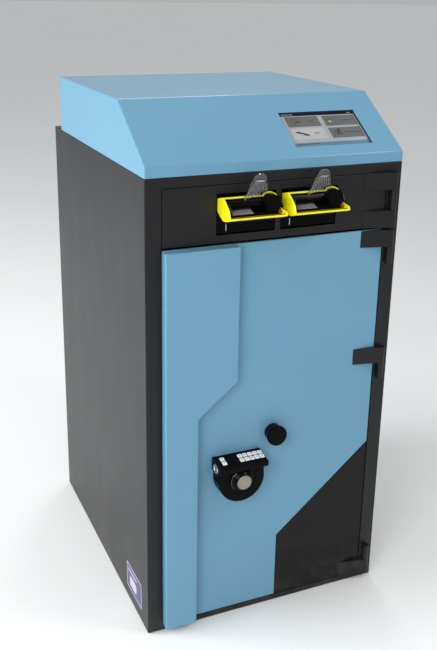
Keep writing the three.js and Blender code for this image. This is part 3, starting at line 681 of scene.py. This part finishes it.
def screws(name, places, axis, material, body, radius=4.0):
    """Pan-head screws with a socket, on a face that looks along the axis."""
    bm = bmesh.new()
    socket = radius * 0.42
    profile = [(0, 0.8), (socket, 0.8), (socket + 0.1, 2.0), (radius * 0.6, 2.1), (radius * 0.85, 1.6),
               (radius, 0.7), (radius, 0), (0, 0)]
    for place in places:
        add_turned(bm, profile, place, axis, 28)
    finished(name, bm, material, body)


def cash_unit_details(side):
    """Lock, label plate and ribs of a cassette; louvres and release bar of its validator."""
    low, high = millimetres(f"note_cassette_{side}")
    middle, face = (low.x + high.x) / 2, low.y + GRIP_REACH
    front = millimetres(f"validator_head_{side}")[0].y + NOSE_PROUD

    def add(name, bm, material):
        finished(f"{name}_{side}", bm, material, "cabinet")

    bm = bmesh.new()
    lock = [(0, 2.2), (1.6, 2.2), (2.0, 1.2), (6.4, 1.2), (6.9, 2.6), (8.4, 2.6), (9, 2), (9, 0), (0, 0)]
    add_turned(bm, lock, at(middle, face, 560), FRONT, 48)
    add("cassette_lock", bm, chrome)
    bm = bmesh.new()
    label = rounded(rectangle(middle, 690, 62, 26), 3)
    add_prism(bm, [at(x, face, z) for x, z in label], FRONT * MM)
    add("cassette_label", bm, pale_label_and_lit_ramp)
    bm = bmesh.new()
    for x in (low.x + 7, high.x - 11):
        add_box(bm, (x, face - 1.8, 482), (x + 4, face + 0.5, 742))
    for z in (500, 512, 524):
        add_box(bm, (middle - 26, face - 1.4, z), (middle + 26, face + 0.5, z + 4))
    add("cassette_ribs", bm, grey_plastic_and_rib_highlight)
    bm = bmesh.new()
    for z in range(780, 811, 6):
        add_box(bm, (middle - 34, front - 1.2, z), (middle + 20, front + 0.4, z + 2.4))
    add("validator_louvres", bm, grey_plastic_and_rib_highlight)
    bm = bmesh.new()
    add_box(bm, (middle + 26, front - 3, 782), (middle + 38, front + 0.4, 812))
    add("validator_release", bm, board_green)


for side in ("left", "right"):
    cash_unit_details(side)


# ---- doors ----

refined("upper_door_plate", charcoal_coat, 0.8, 3)

PAINT_FOOT = (270, 153.5)  # where the charcoal corner's upright edge meets its slant
PAINT_TOP = (467.5, 323.7)  # where the slant meets the door's right edge


def main_door():
    """The door plate: blue in front with a charcoal corner below a slanted line, charcoal inside, both in
    a darker copy of the charcoal coat, which is painted shade.
    """
    bm = cad_mesh("main_door_plate")
    soften(bm, 0.9, 3)
    run, rise = PAINT_TOP[0] - PAINT_FOOT[0], PAINT_TOP[1] - PAINT_FOOT[1]
    slant = Vector((-rise, 0, run)).normalized()
    foot = at(PAINT_FOOT[0], 0, PAINT_FOOT[1])
    for normal in (RIGHT, slant):
        bmesh.ops.bisect_plane(bm, geom=bm.verts[:] + bm.edges[:] + bm.faces[:], dist=1e-7,
                               plane_co=foot, plane_no=normal)
    for face in bm.faces:
        middle = face.calc_center_median()
        painted = middle.x > foot.x and (middle - foot).dot(slant) < 0
        if painted or face.normal.y > 0.9:
            face.material_index = 1
    door = finished("main_door_skin", bm, [blue_coat, door_charcoal_painted_shade], "main_door", 50)
    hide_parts("main_door_plate")


def overlay():
    """The folded cover on the door's closing side: a sheet with soft bends, open at the back."""
    low, high = millimetres("overlay_cover")
    narrow, knee, shoulder, chamfer = 92.5, 450, 512, 6.5
    outline = [
        (low.x, low.z), (narrow - chamfer, low.z), (narrow, low.z + chamfer), (narrow, knee),
        (high.x, shoulder), (high.x, high.z), (low.x, high.z),
    ]
    bm = bmesh.new()
    front = add_loop(bm, [at(x, low.y, z) for x, z in outline])
    back = add_loop(bm, [at(x, high.y, z) for x, z in outline])
    bm.faces.new(front)
    bridge(bm, front, back)
    bmesh.ops.recalc_face_normals(bm, faces=bm.faces)
    bends = [e for e in bm.edges if len(e.link_faces) == 2]
    soften(bm, 1.8, 4, edges=bends)
    cover = finished("overlay_skin", bm, blue_coat, "main_door", 60, weighted=False)
    thicken(cover)
    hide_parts("overlay_cover")


main_door()
overlay()


# ---- boltwork and locks ----

for part in ("bolt_guide", "bolt_bar", "knob_crank", "lock_case", "lock_bolt", "upper_lock_case",
             "upper_lock_bolt"):
    refined(part, steel, 0.5)


def lock_screws():
    """The screws that hold the lock cases and the bolt guide on the inside of the doors."""
    radius, inset, guide_inset, guide_leg, pitch = 3.2, 7, 5.5, 3, 145
    for case, body in (("lock_case", "main_door"), ("upper_lock_case", "upper_door")):
        low, high = millimetres(case)
        places = [at(x, high.y, z) for x in (low.x + inset, high.x - inset)
                  for z in (low.z + inset, high.z - inset)]
        screws(f"{case}_screws", places, BACK, chrome, body, radius)
    low, high = millimetres("bolt_guide")
    places = [at(high.x - guide_inset, low.y + guide_leg, z)
              for z in range(round(low.z) + 20, round(high.z), pitch)]
    screws("bolt_guide_screws", places, BACK, chrome, "main_door", radius)


lock_screws()


def bolt_knob():
    """The round knob, narrower towards the door, hollow at the back for its spindle."""
    low, high = millimetres("bolt_knob")
    centre = at((low.x + high.x) / 2, 0, (low.z + high.z) / 2)
    rim, reach = (high.x - low.x) / 2, -low.y
    profile = [
        (0, reach - 0.9), (rim - 6.0, reach - 0.9), (rim - 5.6, reach - 0.3), (rim - 4.8, reach),
        (rim - 2.0, reach), (rim - 0.7, reach - 0.6), (rim, reach - 2.0), (rim, reach - 7),
        (rim - 0.5, reach - 9.5), (rim - 2.4, reach - 14), (rim - 3.2, 5), (rim - 3.2, 1.4),
        (rim - 2.8, 0.4), (5.4, 0.4), (5.4, 15.8), (0, 15.8),
    ]
    knob = turned("bolt_knob_turned", profile, centre, FRONT, satin_black, "bolt_knob",
                  96, 40)
    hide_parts("bolt_knob")


bolt_knob()


# ---- lock input unit ----

DIGITS = "1234567890"
KEYS = ["key_clear", "key_enter"] + [f"key_{digit}" for digit in DIGITS]
KEY_DEPTH = 9
POCKET_GAP = 0.3  # room round a key
POCKET_FLOOR = -3.2  # from the middle of the key
LEGEND_SIZE = 6.0
LEGEND_HEIGHT = 1.79  # just above the key's face, from the middle of the key
HEAD_TILT = math.atan2(7, 42)  # the keypad's top falls 7 mm over its 42 mm depth


def keypad_turn():
    return Matrix.Rotation(HEAD_TILT, 4, "X")


def key_pocket(key):
    """The pocket that a key stands in, tilted as the keypad is and deep enough for its press."""
    low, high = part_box(key)
    turn = Matrix.Translation((low + high) / 2) @ keypad_turn()
    half_x, half_y = (high.x - low.x) / 2 + POCKET_GAP * MM, (KEY_DEPTH / 2 + POCKET_GAP) * MM
    corners = ((-half_x, -half_y), (half_x, -half_y), (half_x, half_y), (-half_x, half_y))
    bm = bmesh.new()
    add_prism(bm, [turn @ Vector((x, y, POCKET_FLOOR * MM)) for x, y in corners],
              turn.to_3x3() @ Vector((0, 0, 9 * MM)))
    return bm


def lock_housing():
    """The housing: a round-bottomed drum and the keypad's head across its top, with key pockets."""
    low, high = millimetres("lock_housing")
    dial_low, dial_high = millimetres("lock_dial")
    x, z = (dial_low.x + dial_high.x) / 2, (dial_low.z + dial_high.z) / 2
    radius, face, shoulder = 45.75, -30, 343
    head_bottom, brow_bottom, brow_top = 334, 340.5, 351
    middle_z = z + 0.8
    outline = [(x + radius, shoulder), (x - radius, shoulder)] + arc(x, middle_z, radius, 180, 360, 48)
    drum = bmesh.new()
    front, _, _ = add_prism(drum, [at(px, face, pz) for px, pz in outline],
                            Vector((0, (high.y - face) * MM, 0)))
    rim = [e for e in drum.edges if all(v in front for v in e.verts)]
    soften(drum, 2.4, 4, edges=rim)
    head = bmesh.new()
    profile = rounded([(high.y, head_bottom), (face - 0.1, head_bottom), (face - 0.1, brow_bottom),
                       (low.y, brow_bottom), (low.y, brow_top), (high.y, high.z)], 0.01, 1)
    add_prism(head, [at(low.x, py, pz) for py, pz in profile], Vector(((high.x - low.x) * MM, 0, 0)))
    # merging the corner points also updates the face normals, which soften picks its edges by
    bmesh.ops.remove_doubles(head, verts=head.verts, dist=1e-4)
    soften(head, 1.3, 3)
    tools = [key_pocket(key) for key in KEYS]
    bore = bmesh.new()
    add_turned(bore, [(0, -20), (5, -20), (5, 60), (0, 60)], at(x, 10, z), FRONT, 32)
    whole = boolean(boolean(drum, [head], "UNION"), [*tools, bore], "DIFFERENCE")
    housing = finished("lock_housing_shell", whole, black_plastic, "main_door", 30)
    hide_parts("lock_housing")


def legend(key, text):
    """A printed figure on a key, as a thin mesh."""
    low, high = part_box(key)
    font = bpy.data.curves.new(f"{key}_figure", "FONT")
    font.body, font.size, font.extrude = text, LEGEND_SIZE * MM, 0.03 * MM
    font.align_x, font.align_y = "CENTER", "CENTER"
    scratch = bpy.data.objects.new("scratch", font)
    scene.collection.objects.link(scratch)
    mesh = bpy.data.meshes.new_from_object(scratch.evaluated_get(bpy.context.evaluated_depsgraph_get()))
    bpy.data.objects.remove(scratch)
    top = (low + high) / 2 + keypad_turn().to_3x3() @ Vector((0, 0, LEGEND_HEIGHT * MM))
    mesh.transform(Matrix.Translation(top) @ keypad_turn())
    mesh.name = f"{key}_figure"
    piece = bpy.data.objects.new(f"{key}_figure", mesh)
    mesh.materials.clear()
    mesh.materials.append(ink)
    scene.collection.objects.link(piece)
    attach(piece, key)


def keypad():
    for key in KEYS:
        refined(key, white_plastic, 0.35, 2, 40)
    for digit in DIGITS:
        legend(f"key_{digit}", digit)
    legend("key_clear", "<")
    legend("key_enter", ">")


def dial():
    """The rotary dial with a glossy rim, and the blank badge in its face."""
    low, high = millimetres("lock_dial")
    centre = at((low.x + high.x) / 2, 0, (low.z + high.z) / 2)
    radius, reach, badge = (high.x - low.x) / 2, -low.y, 14.4
    profile = [
        (0, reach - 1.5), (badge + 0.4, reach - 1.5), (badge + 0.4, reach - 0.3), (badge + 0.8, reach),
        (badge + 1.7, reach), (badge + 2.3, reach - 0.4), (radius - 6.2, reach - 1.5),
        (radius - 2.4, reach - 6.0), (radius - 0.8, reach - 7.6), (radius, reach - 8.8),
        (radius, reach - 11.6), (radius - 0.5, reach - 12.1), (4, reach - 12.1), (4, -20), (0, -20),
    ]
    grip = turned("lock_dial_turned", profile, centre, FRONT, satin_black, "lock_dial",
                  120)
    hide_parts("lock_dial")
    rim = [(radius - 1.6, reach - 7.0), (radius - 0.7, reach - 7.6), (radius, reach - 8.8),
           (radius + 0.1, reach - 9.6), (radius - 1.2, reach - 10.0), (radius - 1.6, reach - 7.0)]
    turned("lock_dial_rim", rim, centre, FRONT, gloss_black, "lock_dial", 120)
    front = -millimetres("dial_badge")[0].y
    rings = [(0, front - 0.25), (badge - 3.2, front - 0.25), (badge - 2.9, front), (badge - 2.3, front),
             (badge - 2.0, front - 0.2), (badge - 0.4, front - 0.2), (badge, front - 0.5),
             (badge, front - 0.95), (0, front - 0.95)]
    disc = turned("dial_badge_turned", rings, centre, FRONT, badge_metal, "lock_dial", 96)
    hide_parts("dial_badge")


def contact_port():
    """The round metal contact port on the head's left cheek."""
    low, high = millimetres("contact_port")
    centre = at(high.x, (low.y + high.y) / 2, (low.z + high.z) / 2)
    radius, proud = (high.z - low.z) / 2, high.x - low.x
    profile = [
        (0, proud - 1.1), (2.4, proud - 1.1), (2.7, proud - 1.3), (radius - 3.4, proud - 1.3),
        (radius - 3.0, proud - 0.4), (radius - 2.4, proud), (radius - 1.2, proud), (radius, proud - 0.8),
        (radius, 0), (0, 0),
    ]
    ring = turned("contact_port_turned", profile, centre, LEFT, chrome, "main_door", 72)
    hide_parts("contact_port")


lock_housing()
keypad()
dial()
contact_port()


# ---- banknote feeders ----

class Feeder:
    """One feeder's place: millimetres across from its middle, from the door's face, from the floor."""

    def __init__(self, side):
        low, high = millimetres(f"feeder_bezel_{side}")
        self.side, self.middle = side, (low.x + high.x) / 2
        self.half = (high.x - low.x) / 2

    def at(self, across, y, z):
        return at(self.middle + across, y, z)

    def along_x(self, bm, profile, start, end):
        """A prism of a (y, z) profile between two places across."""
        add_prism(bm, [self.at(start, y, z) for y, z in profile], Vector(((end - start) * MM, 0, 0)))

    def bar(self, profile, start, end):
        """The same prism as a mesh of its own."""
        bm = bmesh.new()
        self.along_x(bm, profile, start, end)
        return bm

    def along_y(self, bm, profile, start, end):
        """A prism of an (across, z) profile between two depths."""
        add_prism(bm, [self.at(u, start, z) for u, z in profile], Vector((0, (end - start) * MM, 0)))

    def trim(self, name, bm, material, slot):
        """A small piece of this feeder, named after its side."""
        finished(f"{name}_{self.side}", bm, material, "upper_door")


BOSS = (33.6, 840, 16.2)  # across, height and radius of the round end of a feeder
RAIL_FRONT, RAIL_BACK = -19, -14.2  # depth of the top rail and of the arch
RAIL_LOW, RAIL_HIGH = 850.9, 853.5
NOTCHES, NOTCH_START, NOTCH_PITCH, NOTCH_WIDTH = 7, -10.5, 5.1, 1.9
CHEEK = [(0.7, 827), (-12, 819.5), (-24, 815), (-38, 817), (-49, 821), (-48.5, 825), (-43.5, 835.6),
         (-37, 841.5), (-30, 846.5), (-22, 851.3), (-16, 853.4), (-10, 852.3), (0.7, 849)]
TROUGH = [(0.7, 826), (-12, 818.7), (-24, 815), (-38, 817), (-49, 821), (-49, 824), (-38, 820.6),
          (-24.3, 818), (-12, 821.9), (0.7, 829)]


def feeder_bezel(feeder):
    """The yellow scoop: a left cheek, a trough with its lip, a top rail, and an arch on the right."""
    half, wall = feeder.half, 3.2
    across, height, radius = BOSS
    cheek = feeder.bar(CHEEK, -half, -half + wall)
    trough = feeder.bar(TROUGH, -half + 0.4, half)
    section = [(RAIL_FRONT, RAIL_LOW), (RAIL_BACK, RAIL_LOW), (RAIL_BACK, RAIL_HIGH),
               (RAIL_FRONT, RAIL_HIGH)]
    rail = feeder.bar(rounded(section, 0.9), -half + 0.5, across - 10.2)
    notch = [(-21, 852.4), (-12, 852.4), (-12, 856), (-21, 856)]
    starts = [NOTCH_START + i * NOTCH_PITCH for i in range(NOTCHES)]
    notches = [feeder.bar(notch, start, start + NOTCH_WIDTH) for start in starts]
    arch = bmesh.new()
    outline = (arc(across, height, radius + 2.2, 130, -22, 28)
               + arc(across, height, radius + 0.4, -22, 130, 28))
    feeder.along_y(arch, outline, RAIL_FRONT, RAIL_BACK)
    low_cheek = feeder.bar([(0.7, 827), (-24, 815.5), (-48.6, 821.4), (-48, 827), (-44, 827.8), (-30, 829),
                            (-19, 833), (-14.2, 836), (0.7, 836)], half - 3, half)
    rail = boolean(rail, notches, "DIFFERENCE")
    whole = boolean(cheek, [trough, rail, arch, low_cheek], "UNION")
    bezel = finished(f"feeder_bezel_{feeder.side}_moulded", whole, yellow_plastic, "upper_door",
                     35)
    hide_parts(f"feeder_bezel_{feeder.side}")


def feeder_body(feeder):
    """The black body with the note mouth, its top cover, base, side walls and round boss."""
    half = 54
    across, height, radius = BOSS
    core = feeder.bar([(1, 787), (46, 787), (46, 849.5), (1, 849.5)], -half, half)
    cover = feeder.bar([(2, 842.8), (-20, 842.8), (-21, 844)] + arc(-13, 843.2, 7.2, 160, 80, 8)
                       + [(-6, 849.8), (2, 849.8)], -50, across)
    base = feeder.bar([(2, 829.6), (2, 832.2), (-4, 831.8), (-27.4, 825.3), (-28.4, 822), (-24.3, 819.2)],
                      -50, 50)
    wall = feeder.bar([(2, 830), (-30, 824), (-33, 829), (-20, 846), (2, 848)], -50.8, -46)
    boss = bmesh.new()
    add_turned(boss, [(0, 32.4), (radius - 3.4, 32.4), (radius - 2.9, 33), (radius - 1.2, 33),
                      (radius - 0.3, 32.5), (radius, 31.4), (radius, 9), (0, 9)],
               feeder.at(across, 0, height), FRONT, 72)
    block = feeder.bar([(2, 830), (-9, 829), (-30, 825.2), (-30, 833), (-26, 848), (2, 849)],
                       21.4, across + 11)
    mouth = feeder.bar([(-60, 832), (40, 832), (40, 843), (-60, 843)], -46, 21)
    whole = boolean(core, [cover, base, wall, boss, block], "UNION")
    whole = boolean(whole, [mouth], "DIFFERENCE")
    body = finished(f"feeder_body_{feeder.side}_moulded", whole, satin_black, "upper_door",
                    35)
    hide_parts(f"feeder_body_{feeder.side}")


def feeder_trim(feeder):
    """A feeder's pale ramp, rollers, an amber strip in the trough, guide ribs, end cheek, steel clip and
    an orange block in the trough's right corner. The ramp's pale is painted light, the amber strip and
    orange block are painted shade, and the ribs' grey is a painted highlight.
    """
    # the pale is painted light: only the lit, reflecting strip of the mouth's floor is shown pale, and the
    # rest of the floor lies in shadow
    ramp = [(-2, 832.4), (-6, 832.2), (-27.8, 826.1), (-28.8, 825), (-27.8, 824.3), (-4, 831.0)]
    feeder.trim("note_ramp", feeder.bar(ramp, -42, 0), pale_label_and_lit_ramp, "black_plastic")
    axle_y, axle_z = -14.5, 838.2
    bm = bmesh.new()
    for start in range(-45, 18, 16):
        add_turned(bm, [(0, 0), (6.0, 0), (6.5, 0.6), (6.5, 14.9), (6.0, 15.5), (0, 15.5)],
                   feeder.at(start, axle_y, axle_z), RIGHT, 40)
    add_turned(bm, [(0, 0), (4.5, 0), (4.5, 68), (0, 68)], feeder.at(-47, axle_y, axle_z), RIGHT, 24)
    feeder.trim("feed_rollers", bm, satin_black, "black_plastic")
    # an amber strip of painted shade: the yellow trough's inner face in shadow
    shade_band = [(-27, 819.6), (-38, 821.7), (-47, 824.7), (-47, 825.0), (-38, 822.3), (-27, 820.4)]
    feeder.trim("trough_shade_strip", feeder.bar(shade_band, -51, 51), amber_painted_shade, "yellow_plastic")
    # the guide ribs are black; their grey colour is a painted highlight along their edges
    bm = bmesh.new()
    for i, across in enumerate((-45.4, -42.6)):
        feeder.along_x(bm, [(-3 - i, 842.6), (-19 - i, 842.6), (-33 - i, 826.5), (-31 - i, 825.5),
                            (-8 - i, 832)], across, across + 1.1)
    feeder.trim("guide_ribs", bm, grey_plastic_and_rib_highlight, "black_plastic")
    cheek = rounded([(0.6, 836.6), (-13.6, 836.6), (-30, 830.5), (-33, 833), (-24, 846), (-13.6, 849),
                     (0.6, 849)], 2)
    feeder.trim("end_cheek", feeder.bar(cheek, 52.0, 54.2), satin_black, "black_plastic")
    bm = bmesh.new()
    feeder.along_y(bm, rounded(rectangle(-38.5, 797, 1.8, 12.5), 0.8), -0.2, 0.9)
    feeder.trim("body_clip", bm, steel, "bare_steel")
    # an orange block of painted shade: the yellow trough's inner right corner in shadow
    corner_shade = feeder.bar([(-22, 821.5), (-33, 823.5), (-35, 827), (-26, 830), (-20, 828)], 46.5, 50.6)
    feeder.trim("trough_corner_shade", corner_shade, orange_painted_shade, "yellow_plastic")


GUARD_LEAN = 0.218  # radians back from upright
GUARD_FOOT = (0, -19.4, 849.5)
GUARD_SHEET = 1.2
RIB_BASE = 1.1  # ribs, bar and rim start inside the sheet
RIBS, RIB_PITCH, RIB_HEAD_PITCH = 7, 6.6, 2.55
RIB_RISE = 0.166  # slope of the sheet's lower edge, which the ribs follow
FIRST_RIB_DROP = 2.2  # the first rib reaches lower than the others


def note_guard(feeder):
    """The clear comb over a feeder: a leaning sheet with ribs that close in towards a tie bar. Ribs and
    bar are pale, a painted highlight for the bright streaks that the clear ribs catch.
    """
    foot = (Matrix.Translation(feeder.at(*GUARD_FOOT))
            @ Matrix.Rotation(math.pi / 2 + GUARD_LEAN, 4, "X"))

    def place(u, v, out):
        return foot @ (Vector((u, v, out)) * MM)

    def slab(bm, outline, out, thick):
        add_prism(bm, [place(u, v, out) for u, v in outline], place(0, 0, thick) - place(0, 0, 0))

    outline = ([(-15, 0), (28.6, 7.3), (22, 38)] + arc(13.5, 36.2, 8.4, 12, 90, 7)
               + arc(9, 33.5, 11.4, 92, 152, 7))
    sheet = bmesh.new()
    slab(sheet, outline, 0, GUARD_SHEET)
    guard = finished(f"note_guard_{feeder.side}_comb", sheet, clear, "upper_door", 35)
    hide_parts(f"note_guard_{feeder.side}")
    ribs = bmesh.new()
    for i in range(RIBS):
        start, end = -14.4 + i * RIB_PITCH, 2.5 + i * RIB_HEAD_PITCH
        base = 0.3 + (start + 15) * RIB_RISE - (FIRST_RIB_DROP if i == 0 else 0)
        slab(ribs, ((start, base), (start + 0.5, base), (end + 0.4, 32), (end, 32)), RIB_BASE, 1.3)
    slab(ribs, ((4.2, 30.6), (17.6, 30.6), (18.4, 33.2), (3.6, 33.2)), RIB_BASE, 1.7)
    # ribs and tie bar are pale: painted highlight
    finished(f"note_guard_{feeder.side}_ribs", ribs, rib_highlight_plastic, "upper_door")
    rim = bmesh.new()
    inner = [(u * 0.93 + 0.9, v * 0.965 + 0.8) for u, v in outline]
    front, raised = ([add_loop(rim, [place(u, v, out) for u, v in loop]) for loop in (outline, inner)]
                     for out in (RIB_BASE, RIB_BASE + 0.6))
    for pair in (front, raised, (front[0], raised[0]), (front[1], raised[1])):
        bridge(rim, *pair)
    finished(f"note_guard_{feeder.side}_rim", rim, clear, "upper_door")


for side in ("left", "right"):
    cash_feeder = Feeder(side)
    feeder_bezel(cash_feeder)
    feeder_body(cash_feeder)
    feeder_trim(cash_feeder)
    note_guard(cash_feeder)


# ---- label on the left wall ----

def wall_label():
    """A plain coloured label with a pale border and a pale blank field."""
    violet = plastic("label_violet", (0.060, 0.045, 0.17), 0.35, 3, 0.005, 0.1)
    paper = plastic("label_paper", (0.50, 0.47, 0.54), 0.45, 1.5, 0.005, 0.04)
    middle_y, middle_z, width, height, border = 83, 55, 90, 56, 2.5
    bm = bmesh.new()

    def field(dy, dz, wide, tall, corner, out, thick, ink_index):
        """One printed field, offset from the label's middle and standing out from the wall."""
        shape = rounded(rectangle(middle_y + dy, middle_z + dz, wide, tall), corner, 4)
        _, _, faces = add_prism(bm, [at(-out, y, z) for y, z in shape], LEFT * thick * MM)
        for face in faces:
            face.material_index = ink_index

    field(0, 0, width, height, 4, 0.05, 0.12, 1)
    field(0, 0, width - 2 * border, height - 2 * border, 3, 0.18, 0.05, 0)
    field(6, -6, 40, 22, 6, 0.24, 0.05, 1)
    field(10, 15, 52, 4, 1.5, 0.24, 0.05, 1)
    finished("wall_label", bm, [violet, paper], "cabinet", weighted=False)


wall_label()


# ---- hood screws at the back ----

SCREW_HEIGHT = 905
SCREW_PLACES = (40, 180, 320, 460)  # across from the cabinet's left side


def hood_screws():
    _, high = millimetres("hood_cover")
    places = [at(x, high.y, SCREW_HEIGHT) for x in SCREW_PLACES]
    screws("hood_screws", places, BACK, steel, "cabinet")


hood_screws()
